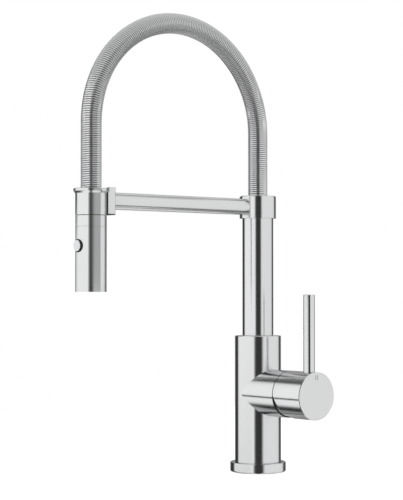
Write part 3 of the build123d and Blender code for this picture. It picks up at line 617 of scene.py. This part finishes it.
def face_marks(front, depth):
    """The marks' two bars, from a place in front of their floor down to a depth."""
    bm = bmesh.new()
    for side in (-1, 1):
        left = side * MARK_APART / 2 - MARK_WIDTH / 2
        foot = lever_height + MARK_FOOT
        add_block(bm, (knob_face - depth, left, foot), (front, left + MARK_WIDTH, foot + MARK_HEIGHT))
    return bm


# Sockets for a hexagon key in the two screws
KEY_ACROSS_FLATS = 2.5 * MM
KEY_DEPTH = 2.2 * MM


def key_socket(outer, inward):
    """A hexagon key's socket, cut from the middle of a screw's outer end."""
    bm = bmesh.new()
    outer, inward = Vector(outer), Vector(inward)
    add_prism(bm, 6, KEY_ACROSS_FLATS / math.sqrt(3), outer - inward * MM, outer + inward * KEY_DEPTH)
    return bm


swivel_screw_end = (0, swivel_screw_box[1].y, (swivel_screw_box[0].z + swivel_screw_box[1].z) / 2)
set_screw_end = ((set_screw_box[0].x + set_screw_box[1].x) / 2, 0, set_screw_box[0].z)
cutters_of = {
    "lever_knob": face_marks(knob_face + MM, MARK_DEPTH),
    "swivel_screw": key_socket(swivel_screw_end, (0, -1, 0)),
    "knob_set_screw": key_socket(set_screw_end, UP),
}


def eased_copy(node, width, routes):
    """A copy of a node with its outer edges eased and its cutters taken out, brushed along its routes."""
    bm = node_copy(node)
    ease(bm, width)
    if node in cutters_of:
        bm = cut_from(bm, cutters_of[node])
    made = piece(node + "_eased", bm, body_of[node], slot_of[node], node)
    if routes:
        turned(made, routes)


# Each node's eased edge in millimetres, and how it is brushed
for node, edge, routes in (
    ("mixer_body", 0.35, round_body),
    ("column_tube", 0.2, round_z),
    ("arm_collar", 0.3, round_z),
    ("base_ring", 0.3, round_z),
    ("support_arm", 0.2, round_arm),
    ("docking_sleeve", 0.2, round_head),
    ("head_neck_ring", 0.2, round_head),
    ("head_shell", 0.2, round_head),
    ("lever_knob", 0.3, round_knob),
    ("lever_pin", 0.3, round_pin),
    ("shank_nut", 0.6, round_z),
    ("deck_steel_washer", 0.2, round_z),
    ("deck_rubber_washer", 0.4, round_z),
    ("button_bezel", 0.15, round_button),
    ("spray_plate", 0.15, round_head),
    ("spray_nozzles", 0.12, round_head),
    ("swivel_slip_ring", 0.3, None),
    ("swivel_screw", 0.3, None),
    ("knob_set_screw", 0.3, None),
):
    eased_copy(node, edge * MM, routes)


def gap_shade_ring():
    """A thin black rubber ring on the side arm's end, in the gap behind the knob: painted shade that darkens
    the gap.
    """
    thickness, width, inset, sides = 0.35 * MM, 1.5 * MM, 0.4 * MM, 96
    outside = body_radius - inset
    end = Vector((side_arm_end, 0, lever_height))
    outward = Vector((1, 0, 0))
    ring = bmesh.new()
    add_prism(ring, sides, outside, end, end + outward * thickness)
    hollow = bmesh.new()
    add_prism(hollow, sides, outside - width, end - outward * MM, end + outward * MM)
    # The black ring is painted shade in the gap behind the knob
    piece("gap_shade_ring", cut_from(ring, hollow), body_of["mixer_body"], "black_rubber")


def dock():
    """The dock: a steel block, with black strips at its lips and along its foot that are painted shade in its
    corners and under it.
    """
    lip_depth, foot_height, edge = 1.3 * MM, 0.9 * MM, 0.3 * MM
    lip = (0, dock_box[0].y + lip_depth, 0)
    foot = (0, 0, dock_box[0].z + foot_height)
    back = Vector((0, 1, 0))
    body = body_of["dock_saddle"]
    block = sliced(sliced(node_copy("dock_saddle"), lip, back), foot, UP)
    ease(block, edge)
    turned(piece("dock_block", block, body, slot_of["dock_saddle"], "dock_saddle"), round_head)
    # Black strips at the lips: painted shade where the head's flange meets the dock
    piece("dock_lip_shade", sliced(node_copy("dock_saddle"), lip, -back), body, "black_plastic")
    # A black strip along the foot: painted shade under the dock
    foot_shade = sliced(sliced(node_copy("dock_saddle"), lip, back), foot, -UP)
    piece("dock_foot_shade", foot_shade, body, "black_plastic")


def knob_marks():
    """The grey paint in the engraved marks. It fills half their depth, just clear of their floor."""
    paint = face_marks(knob_face - MARK_DEPTH / 2, MARK_DEPTH - MARK_PLAY)
    piece("knob_marks", paint, body_of["lever_knob"], None, finish=mark_grey)


def threaded_shank():
    """The shank, with a thread all the way and its water way through the middle."""
    pitch, depth, bore = 1.5 * MM, 0.8 * MM, 12.6 * MM
    steps, spare_turns, bore_sides = 48, 2, 64
    crest = shank_box[1].x
    foot, head = shank_box[0].z, shank_box[1].z
    bm = bmesh.new()
    corners = [(crest - depth, 0, 0), (crest, 0, pitch / 2), (crest - depth, 0, pitch)]
    verts = [bm.verts.new(corner) for corner in corners]
    edges = [bm.edges.new(pair) for pair in zip(verts, verts[1:])]
    bmesh.ops.translate(bm, vec=(0, 0, foot - spare_turns * pitch), verts=verts)
    bmesh.ops.spin(
        bm, geom=verts + edges, axis=UP, cent=(0, 0, 0), dvec=UP * (pitch / steps), angle=TURN, steps=steps,
    )
    bm = repeated(bm, round((head - foot) / pitch) + 2 * spare_turns, UP * pitch)
    for height, keep in ((foot, UP), (head, -UP)):
        everything = bm.verts[:] + bm.edges[:] + bm.faces[:]
        bmesh.ops.bisect_plane(bm, geom=everything, plane_co=(0, 0, height), plane_no=keep, clear_inner=True)
    close_holes(bm)
    bmesh.ops.recalc_face_normals(bm, faces=bm.faces)
    water_way = bmesh.new()
    add_prism(water_way, bore_sides, bore, (0, 0, foot - MM), (0, 0, head + MM))
    bm = cut_from(bm, water_way)
    piece("threaded_shank", bm, body_of["mounting_shank"], slot_of["mounting_shank"], "mounting_shank")


def aerator():
    """The aerator in the spray plate: its cup and, inside it, two crossed layers of a steel screen."""
    wall, recess, edge, sides = 1.1 * MM, 1.4 * MM, 0.15 * MM, 64
    bar, cells, rim = 0.22 * MM, 11, 0.3 * MM
    layer_rise, layers_apart = 0.5 * MM, 0.45 * MM
    foot, top = aerator_box[0].z, aerator_box[1].z
    radius = (aerator_box[1].x - aerator_box[0].x) / 2
    body = body_of["aerator_insert"]
    cup = bmesh.new()
    add_prism(cup, sides, radius, (0, -reach, foot), (0, -reach, top))
    hollow = bmesh.new()
    add_prism(hollow, sides, radius - wall, (0, -reach, foot - MM), (0, -reach, foot + recess))
    cup = cut_from(cup, hollow)
    ease(cup, edge)
    piece("aerator_cup", cup, body, slot_of["aerator_insert"], "aerator_insert")
    for number, turn in enumerate((0, 45)):
        screen = bmesh.new()
        bmesh.ops.create_grid(screen, x_segments=cells, y_segments=cells, size=radius - wall)
        outside = [face for face in screen.faces if face.calc_center_median().length > radius - wall - rim]
        bmesh.ops.delete(screen, geom=outside, context="FACES")
        bmesh.ops.wireframe(
            screen, faces=screen.faces, thickness=bar, use_boundary=True, use_even_offset=True,
        )
        place = Matrix.Translation((0, -reach, foot + layer_rise + layers_apart * number))
        place @= Matrix.Rotation(math.radians(turn), 4, "Z")
        bmesh.ops.transform(screen, matrix=place, verts=screen.verts)
        piece(f"aerator_screen_{number + 1}", screen, body, "inner_steel")


def push_button():
    """The button: a steel cap on a black skirt."""
    cap_height, edge, edge_segments, sides = 0.8 * MM, 0.25 * MM, 3, 64
    front, back = button_box[0].y, button_box[1].y
    cap_back = front + cap_height
    radius = (button_box[1].x - button_box[0].x) / 2
    sideways = Matrix.Rotation(math.radians(90), 4, "X")
    for name, slot, start, end, nodes in (
        ("button_cap", "button_steel", front, cap_back, ("diverter_button",)),
        ("button_skirt", "black_plastic", cap_back, back, ()),
    ):
        bm = bmesh.new()
        place = Matrix.Translation((0, (start + end) / 2, button_height)) @ sideways
        bmesh.ops.create_cone(
            bm, cap_ends=True, segments=sides, radius1=radius, radius2=radius, depth=end - start,
            matrix=place,
        )
        ease(bm, edge, edge_segments)
        turned(piece(name, bm, "button", slot, *nodes), round_button)


gap_shade_ring()
dock()
knob_marks()
threaded_shank()
aerator()
push_button()

# The photograph's view, with its angles in degrees
FOCAL_PIXELS = 1500
PHOTO_WIDTH = 403
CAMERA_PLACE = Vector((1129.7, -987.1, 183.5)) * MM
CAMERA_AZIMUTH = 51.005
CAMERA_TILT = 1.397


def camera():
    """The photograph's view: its place, its aim and its lens."""
    data = bpy.data.cameras.new("camera")
    data.sensor_fit = "HORIZONTAL"
    data.sensor_width = 36.0
    data.lens = data.sensor_width * FOCAL_PIXELS / PHOTO_WIDTH
    data.clip_start = 0.05
    made = bpy.data.objects.new("camera", data)
    bpy.context.scene.collection.objects.link(made)
    made.location = CAMERA_PLACE
    made.rotation_euler = (math.radians(90 + CAMERA_TILT), 0, math.radians(CAMERA_AZIMUTH))
    bpy.context.scene.camera = made


# Dark flags round the object: bearing from and to, elevation from and to, softness, and the light they take
# A bearing is measured from the camera's side towards the right of the view, in degrees
flags = (
    (-20, 21.5, -95, 95, 7, 0.96),
    (-157, -118, -95, 45, 6, 0.95),
    (124, 152, -30, 30, 7, 0.9),
    (154, 190, -30, 22, 6, 0.5),
    (-190, -157, -95, 95, 5, 0.5),
    (-190, 40, -56, -39, 5, 0.6),
    (-172, -108, -62, -34, 6, 0.85),
    (-170, -60, 35.5, 46, 2, 0.85),
    (55, 120, -52, -42, 2.5, 0.95),
    (-165, -30, -14.6, -10, 0.8, 1.0),
)
# The room is a little darker on the right, past a soft change in front
RIGHT_SHADE = 0.155
RIGHT_FADE = (-10, 10)


def studio_light():
    """A white room with dark flags that the steel mirrors. The camera sees plain white."""
    world = bpy.data.worlds.new("studio")
    bpy.context.scene.world = world
    world.use_nodes = True
    tree = world.node_tree
    way = tree.nodes.new("ShaderNodeTexCoord").outputs["Generated"]
    azimuth = math.radians(CAMERA_AZIMUTH)
    rightwards = dot_with(tree, way, (math.cos(azimuth), math.sin(azimuth), 0))
    nearwards = dot_with(tree, way, (math.sin(azimuth), -math.cos(azimuth), 0))
    apart = tree.nodes.new("ShaderNodeSeparateXYZ")
    tree.links.new(way, apart.inputs["Vector"])
    bearing = maths(tree, "DEGREES", maths(tree, "ARCTAN2", rightwards, nearwards))
    elevation = maths(tree, "DEGREES", maths(tree, "ARCSINE", apart.outputs["Z"]))
    level = maths(tree, "MULTIPLY_ADD", rise(tree, bearing, *RIGHT_FADE), -RIGHT_SHADE, 1.0)
    for left, right, low, high, soft, taken in flags:
        in_bearing = window(tree, bearing, left, right, soft)
        in_elevation = window(tree, elevation, low, high, soft)
        mask = maths(tree, "MULTIPLY", in_bearing, in_elevation)
        level = maths(tree, "MULTIPLY", level, maths(tree, "MULTIPLY_ADD", mask, -taken, 1.0))
    seen = tree.nodes.new("ShaderNodeLightPath").outputs["Is Camera Ray"]
    background = tree.nodes["Background"]
    tree.links.new(maths(tree, "MAXIMUM", level, seen), background.inputs["Strength"])
    background.inputs["Color"].default_value = (1, 1, 1, 1)


def front_only(tree, shader):
    """Make a surface clear from behind."""
    behind = tree.nodes.new("ShaderNodeNewGeometry").outputs["Backfacing"]
    tree.links.new(maths(tree, "SUBTRACT", 1.0, behind), shader.inputs["Alpha"])


def white_floor():
    """A white floor that keeps a faint shadow, isn't mirrored by the steel and is clear from below."""
    radius, drop, sides = 0.8, 0.2 * MM, 128
    glow_for_camera = 0.6
    bm = bmesh.new()
    bmesh.ops.create_circle(bm, cap_ends=True, radius=radius, segments=sides)
    bmesh.ops.translate(bm, vec=(0, 0, -drop), verts=bm.verts)
    floor = in_scene("floor", bm)
    floor.visible_glossy = False
    made, tree, shader = material("white_floor")
    shader.inputs["Base Color"].default_value = (0.9, 0.9, 0.9, 1)
    shader.inputs["Roughness"].default_value = 0.9
    shader.inputs["Specular IOR Level"].default_value = 0.0
    shader.inputs["Emission Color"].default_value = (1, 1, 1, 1)
    seen = tree.nodes.new("ShaderNodeLightPath").outputs["Is Camera Ray"]
    tree.links.new(maths(tree, "MULTIPLY", seen, glow_for_camera), shader.inputs["Emission Strength"])
    front_only(tree, shader)
    floor.data.materials.append(made)


def mirrored_card(name, bm):
    """A card that only the steel mirrors, from a bmesh: its material's tree and shader, ready for a glow."""
    card = in_scene(name, bm)
    card.visible_camera = False
    card.visible_diffuse = False
    card.visible_shadow = False
    made, tree, shader = material(name)
    shader.inputs["Base Color"].default_value = (0, 0, 0, 1)
    shader.inputs["Specular IOR Level"].default_value = 0.0
    shader.inputs["Emission Color"].default_value = (1, 1, 1, 1)
    made.cycles.emission_sampling = "NONE"
    card.data.materials.append(made)
    return tree, shader


def upright_card(name, bearing, near, far, low, high, levels, fade):
    """An upright card on a line out from the column, that the head, the dock and the spring mirror most.

    It reaches from near to far and from low to high. Its level changes from the first to the second over the
    fade. The bearing is in degrees from the model's X towards its Y.
    """
    way = Vector((math.cos(math.radians(bearing)), math.sin(math.radians(bearing)), 0))
    bm = bmesh.new()
    bmesh.ops.create_grid(bm, x_segments=1, y_segments=1, size=0.5)
    bmesh.ops.scale(bm, verts=bm.verts, vec=(far - near, high - low, 1))
    turn = Matrix.Rotation(math.radians(bearing), 4, "Z") @ Matrix.Rotation(math.radians(90), 4, "X")
    middle = Matrix.Translation(way * (far + near) / 2 + UP * (high + low) / 2)
    bmesh.ops.transform(bm, matrix=middle @ turn, verts=bm.verts)
    tree, shader = mirrored_card(name, bm)
    place = tree.nodes.new("ShaderNodeTexCoord").outputs["Object"]
    first, second = levels
    change = rise(tree, dot_with(tree, place, way), *fade)
    level = maths(tree, "MULTIPLY_ADD", change, second - first, first)
    tree.links.new(level, shader.inputs["Emission Strength"])


def arch_card(name, radius, across, level, outward):
    """A card bent round the arch, over it or under it. It is clear from the side away from the spring."""
    margin, steps = math.radians(20), 32
    foot = arch_centre + Vector((0, math.cos(margin), math.sin(margin))) * radius
    bm = bmesh.new()
    verts = [bm.verts.new(foot + Vector((x, 0, 0))) for x in across]
    edge = bm.edges.new(verts)
    bmesh.ops.spin(
        bm, geom=verts + [edge], axis=(1, 0, 0), cent=arch_centre, dvec=(0, 0, 0),
        angle=math.pi - 2 * margin, steps=steps,
    )
    bm.normal_update()
    first = next(iter(bm.faces))
    faces_out = first.normal.dot(first.calc_center_median() - arch_centre) > 0
    if faces_out != outward:
        bmesh.ops.reverse_faces(bm, faces=bm.faces)
    tree, shader = mirrored_card(name, bm)
    shader.inputs["Emission Strength"].default_value = level
    front_only(tree, shader)


camera()
studio_light()
upright_card(
    "grey_card", bearing=-57, near=0.165, far=0.45, low=0.172, high=0.48,
    levels=(0.43, 0.09), fade=(0.235, 0.385),
)
upright_card(
    "left_card", bearing=-150, near=0.42, far=2.5, low=0.1, high=0.27,
    levels=(0.9, 0.9), fade=(0.42, 2.5),
)
upright_card(
    "white_card", bearing=-68, near=0.33, far=2.2, low=0.1, high=0.6,
    levels=(0.12, 1.0), fade=(0.33, 0.6),
)
arch_card("over_card", arch_radius + spring_outer + 14 * MM, across=(-0.04, 0.07), level=0.58, outward=False)
arch_card("under_card", arch_radius - spring_outer - 30 * MM, across=(-0.1, 0.15), level=0.25, outward=True)
white_floor()
bpy.context.scene.view_settings.view_transform = "Standard"
